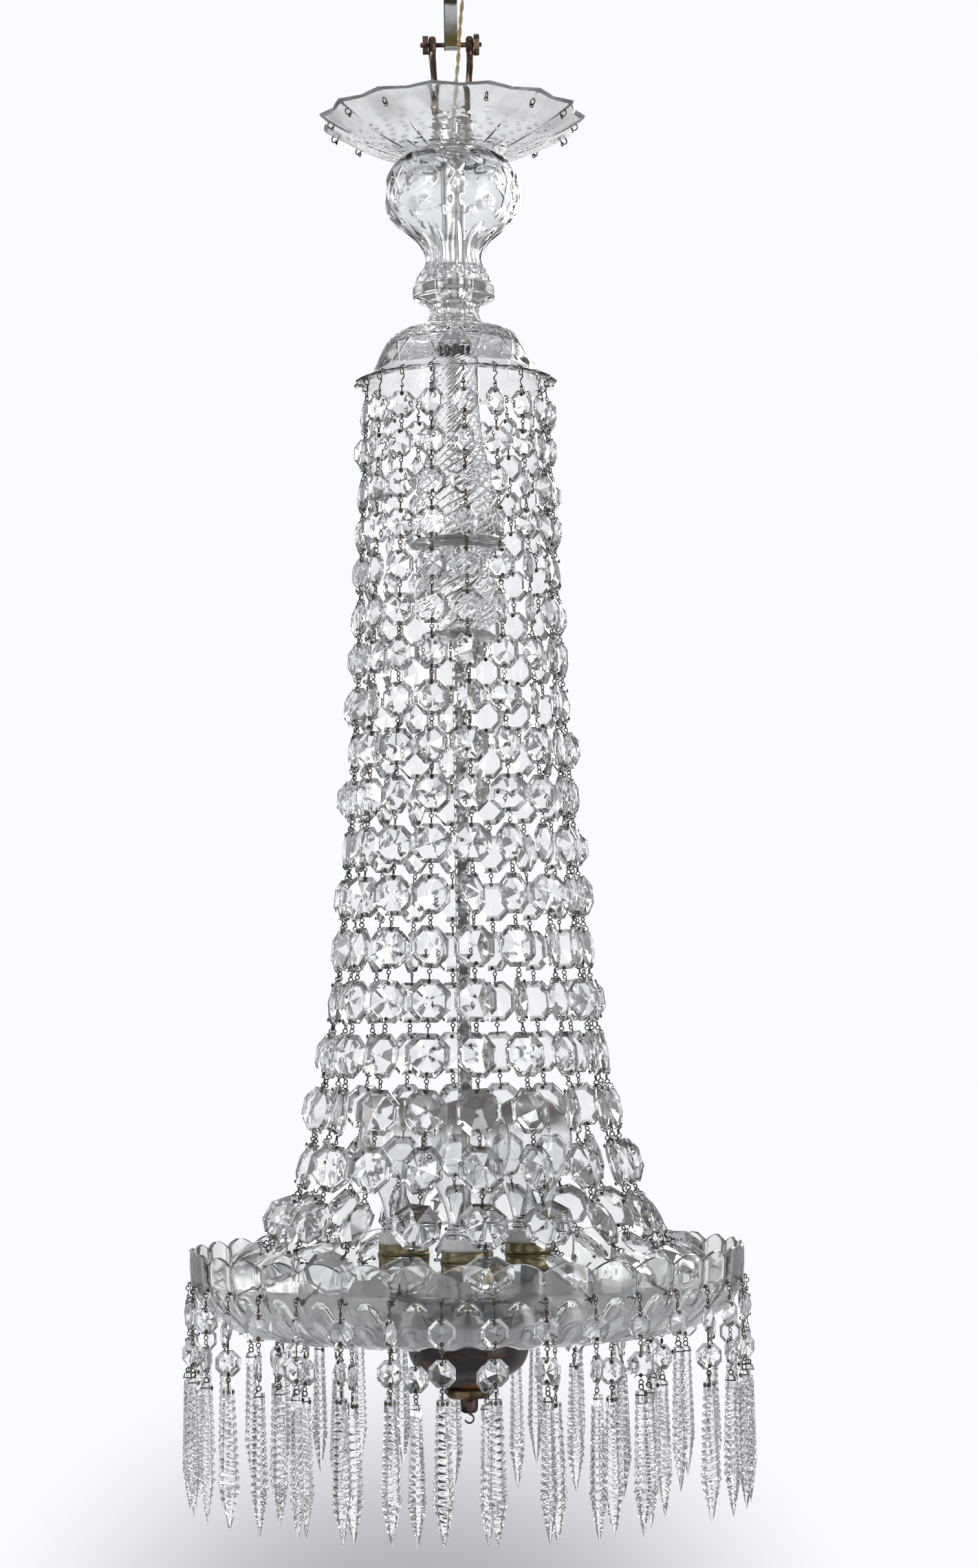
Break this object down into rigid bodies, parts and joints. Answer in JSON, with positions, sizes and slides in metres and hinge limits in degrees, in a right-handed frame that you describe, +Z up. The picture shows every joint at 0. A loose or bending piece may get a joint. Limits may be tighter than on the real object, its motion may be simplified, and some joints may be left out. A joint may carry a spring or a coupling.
{
  "type": "crystal chandelier",
  "caption": "Hanging glass light: cut dish, baluster and bell over a tent of octagon strings tied to a scalloped bowl with lamps and hanging prisms.",
  "frame": {"origin": "centre of the hole in the hanger strap", "axes": "+Z up along the stem, +Y along the hanger hole towards the back, -Y is the front"},
  "size_m": [0.3914, 0.3914, 1.0808],
  "materials": {
    "crystal": "clear cut glass",
    "bulb_glass": "clear blown glass",
    "nickel": "worn nickel",
    "worn_steel": "tarnished steel",
    "bronze": "dark worn bronze",
    "brass": "antique brass",
    "wire": "dark tinned wire",
    "cap_metal": "bright rolled cap",
    "pan_paint": "white enamel",
    "white_shade": "white ribbed",
    "turned_wood": "turned and polished",
    "flex_sheath": "twisted gold flex",
    "connector": "moulded connector"
  },
  "bodies": {
    "hanger": {"hanger_strap": "nickel", "flex_connector": "connector"},
    "chandelier": {"flex": "flex_sheath", "hanger_bolt": "worn_steel", "hanger_nuts": "worn_steel", "shackle": "bronze", "stem_boss": "nickel", "stem_tube": "nickel", "crown_dish": "crystal", "baluster": "crystal", "bell_canopy": "crystal", "bell_bush": "nickel", "twist_pear": "crystal", "glass_plate": "crystal", "twist_vase": "crystal", "vase_foot_ring": "crystal", "rope_tube": "crystal", "tie_rod": "worn_steel", "bowl": "crystal", "bowl_hooks": "wire", "reflector_pan": "pan_paint", "lamp_plate": "pan_paint", "lamp_pillars": "worn_steel", "lampholders": "brass", "shade_rings": "white_shade", "bulb_globes": "bulb_glass", "bulb_caps": "cap_metal", "finial_cup": "turned_wood", "finial_ring": "brass", "finial_nut": "worn_steel", "finial_hook": "wire", "tent_octagons": "crystal", "tent_wires": "wire"},
    "outer_pendants_01": {"outer_pendants_01": "crystal"},
    "outer_pendants_02": {"outer_pendants_02": "crystal"},
    "outer_pendants_03": {"outer_pendants_03": "crystal"},
    "outer_pendants_04": {"outer_pendants_04": "crystal"},
    "outer_pendants_05": {"outer_pendants_05": "crystal"},
    "outer_pendants_06": {"outer_pendants_06": "crystal"},
    "outer_pendants_07": {"outer_pendants_07": "crystal"},
    "outer_pendants_08": {"outer_pendants_08": "crystal"},
    "outer_pendants_09": {"outer_pendants_09": "crystal"},
    "outer_pendants_10": {"outer_pendants_10": "crystal"},
    "outer_pendants_11": {"outer_pendants_11": "crystal"},
    "outer_pendants_12": {"outer_pendants_12": "crystal"},
    "outer_pendants_13": {"outer_pendants_13": "crystal"},
    "outer_pendants_14": {"outer_pendants_14": "crystal"},
    "outer_pendants_15": {"outer_pendants_15": "crystal"},
    "outer_pendants_16": {"outer_pendants_16": "crystal"},
    "outer_pendants_17": {"outer_pendants_17": "crystal"},
    "outer_pendants_18": {"outer_pendants_18": "crystal"},
    "inner_pendants_01": {"inner_pendants_01": "crystal"},
    "inner_pendants_02": {"inner_pendants_02": "crystal"},
    "inner_pendants_03": {"inner_pendants_03": "crystal"},
    "inner_pendants_04": {"inner_pendants_04": "crystal"},
    "inner_pendants_05": {"inner_pendants_05": "crystal"},
    "inner_pendants_06": {"inner_pendants_06": "crystal"},
    "inner_pendants_07": {"inner_pendants_07": "crystal"},
    "inner_pendants_08": {"inner_pendants_08": "crystal"},
    "inner_pendants_09": {"inner_pendants_09": "crystal"}
  },
  "joints": [
    {"name": "hanger_swing", "type": "hinge", "parent": "hanger", "child": "chandelier", "pos_m": [0, 0, -0.0415], "axis": [1, 0, 0], "range_deg": [-20, 20], "deforming": ["flex"]},
    {"name": "outer_swing_01", "type": "hinge", "parent": "chandelier", "child": "outer_pendants_01", "pos_m": [0.03316, -0.18808, -0.9115], "axis": [-0.9848, -0.1736, 0], "range_deg": [-6, 40]},
    {"name": "outer_swing_02", "type": "hinge", "parent": "chandelier", "child": "outer_pendants_02", "pos_m": [0.09549, -0.1654, -0.9115], "axis": [-0.866, -0.5, 0], "range_deg": [-6, 40]},
    {"name": "outer_swing_03", "type": "hinge", "parent": "chandelier", "child": "outer_pendants_03", "pos_m": [0.1463, -0.12276, -0.9115], "axis": [-0.6428, -0.766, 0], "range_deg": [-6, 40]},
    {"name": "outer_swing_04", "type": "hinge", "parent": "chandelier", "child": "outer_pendants_04", "pos_m": [0.17947, -0.06532, -0.9115], "axis": [-0.342, -0.9397, 0], "range_deg": [-6, 40]},
    {"name": "outer_swing_05", "type": "hinge", "parent": "chandelier", "child": "outer_pendants_05", "pos_m": [0.19098, 0, -0.9115], "axis": [0, -1, 0], "range_deg": [-6, 40]},
    {"name": "outer_swing_06", "type": "hinge", "parent": "chandelier", "child": "outer_pendants_06", "pos_m": [0.17947, 0.06532, -0.9115], "axis": [0.342, -0.9397, 0], "range_deg": [-6, 40]},
    {"name": "outer_swing_07", "type": "hinge", "parent": "chandelier", "child": "outer_pendants_07", "pos_m": [0.1463, 0.12276, -0.9115], "axis": [0.6428, -0.766, 0], "range_deg": [-6, 40]},
    {"name": "outer_swing_08", "type": "hinge", "parent": "chandelier", "child": "outer_pendants_08", "pos_m": [0.09549, 0.1654, -0.9115], "axis": [0.866, -0.5, 0], "range_deg": [-6, 40]},
    {"name": "outer_swing_09", "type": "hinge", "parent": "chandelier", "child": "outer_pendants_09", "pos_m": [0.03316, 0.18808, -0.9115], "axis": [0.9848, -0.1736, 0], "range_deg": [-6, 40]},
    {"name": "outer_swing_10", "type": "hinge", "parent": "chandelier", "child": "outer_pendants_10", "pos_m": [-0.03316, 0.18808, -0.9115], "axis": [0.9848, 0.1736, 0], "range_deg": [-6, 40]},
    {"name": "outer_swing_11", "type": "hinge", "parent": "chandelier", "child": "outer_pendants_11", "pos_m": [-0.09549, 0.1654, -0.9115], "axis": [0.866, 0.5, 0], "range_deg": [-6, 40]},
    {"name": "outer_swing_12", "type": "hinge", "parent": "chandelier", "child": "outer_pendants_12", "pos_m": [-0.1463, 0.12276, -0.9115], "axis": [0.6428, 0.766, 0], "range_deg": [-6, 40]},
    {"name": "outer_swing_13", "type": "hinge", "parent": "chandelier", "child": "outer_pendants_13", "pos_m": [-0.17947, 0.06532, -0.9115], "axis": [0.342, 0.9397, 0], "range_deg": [-6, 40]},
    {"name": "outer_swing_14", "type": "hinge", "parent": "chandelier", "child": "outer_pendants_14", "pos_m": [-0.19098, 0, -0.9115], "axis": [0, 1, 0], "range_deg": [-6, 40]},
    {"name": "outer_swing_15", "type": "hinge", "parent": "chandelier", "child": "outer_pendants_15", "pos_m": [-0.17947, -0.06532, -0.9115], "axis": [-0.342, 0.9397, 0], "range_deg": [-6, 40]},
    {"name": "outer_swing_16", "type": "hinge", "parent": "chandelier", "child": "outer_pendants_16", "pos_m": [-0.1463, -0.12276, -0.9115], "axis": [-0.6428, 0.766, 0], "range_deg": [-6, 40]},
    {"name": "outer_swing_17", "type": "hinge", "parent": "chandelier", "child": "outer_pendants_17", "pos_m": [-0.09549, -0.1654, -0.9115], "axis": [-0.866, 0.5, 0], "range_deg": [-6, 40]},
    {"name": "outer_swing_18", "type": "hinge", "parent": "chandelier", "child": "outer_pendants_18", "pos_m": [-0.03316, -0.18808, -0.9115], "axis": [-0.9848, 0.1736, 0], "range_deg": [-6, 40]},
    {"name": "inner_swing_01", "type": "hinge", "parent": "chandelier", "child": "inner_pendants_01", "pos_m": [0.0339, -0.12652, -0.9488], "axis": [-0.9659, -0.2588, 0], "range_deg": [-10, 10]},
    {"name": "inner_swing_02", "type": "hinge", "parent": "chandelier", "child": "inner_pendants_02", "pos_m": [0.10729, -0.07513, -0.9488], "axis": [-0.5736, -0.8192, 0], "range_deg": [-10, 10]},
    {"name": "inner_swing_03", "type": "hinge", "parent": "chandelier", "child": "inner_pendants_03", "pos_m": [0.13048, 0.01142, -0.9488], "axis": [0.0872, -0.9962, 0], "range_deg": [-10, 10]},
    {"name": "inner_swing_04", "type": "hinge", "parent": "chandelier", "child": "inner_pendants_04", "pos_m": [0.09262, 0.09262, -0.9488], "axis": [0.7071, -0.7071, 0], "range_deg": [-10, 10]},
    {"name": "inner_swing_05", "type": "hinge", "parent": "chandelier", "child": "inner_pendants_05", "pos_m": [0.01142, 0.13048, -0.9488], "axis": [0.9962, -0.0872, 0], "range_deg": [-10, 10]},
    {"name": "inner_swing_06", "type": "hinge", "parent": "chandelier", "child": "inner_pendants_06", "pos_m": [-0.07513, 0.10729, -0.9488], "axis": [0.8192, 0.5736, 0], "range_deg": [-10, 10]},
    {"name": "inner_swing_07", "type": "hinge", "parent": "chandelier", "child": "inner_pendants_07", "pos_m": [-0.12652, 0.0339, -0.9488], "axis": [0.2588, 0.9659, 0], "range_deg": [-10, 10]},
    {"name": "inner_swing_08", "type": "hinge", "parent": "chandelier", "child": "inner_pendants_08", "pos_m": [-0.11871, -0.05535, -0.9488], "axis": [-0.4226, 0.9063, 0], "range_deg": [-10, 10]},
    {"name": "inner_swing_09", "type": "hinge", "parent": "chandelier", "child": "inner_pendants_09", "pos_m": [-0.05535, -0.11871, -0.9488], "axis": [-0.9063, 0.4226, 0], "range_deg": [-10, 10]}
  ]
}
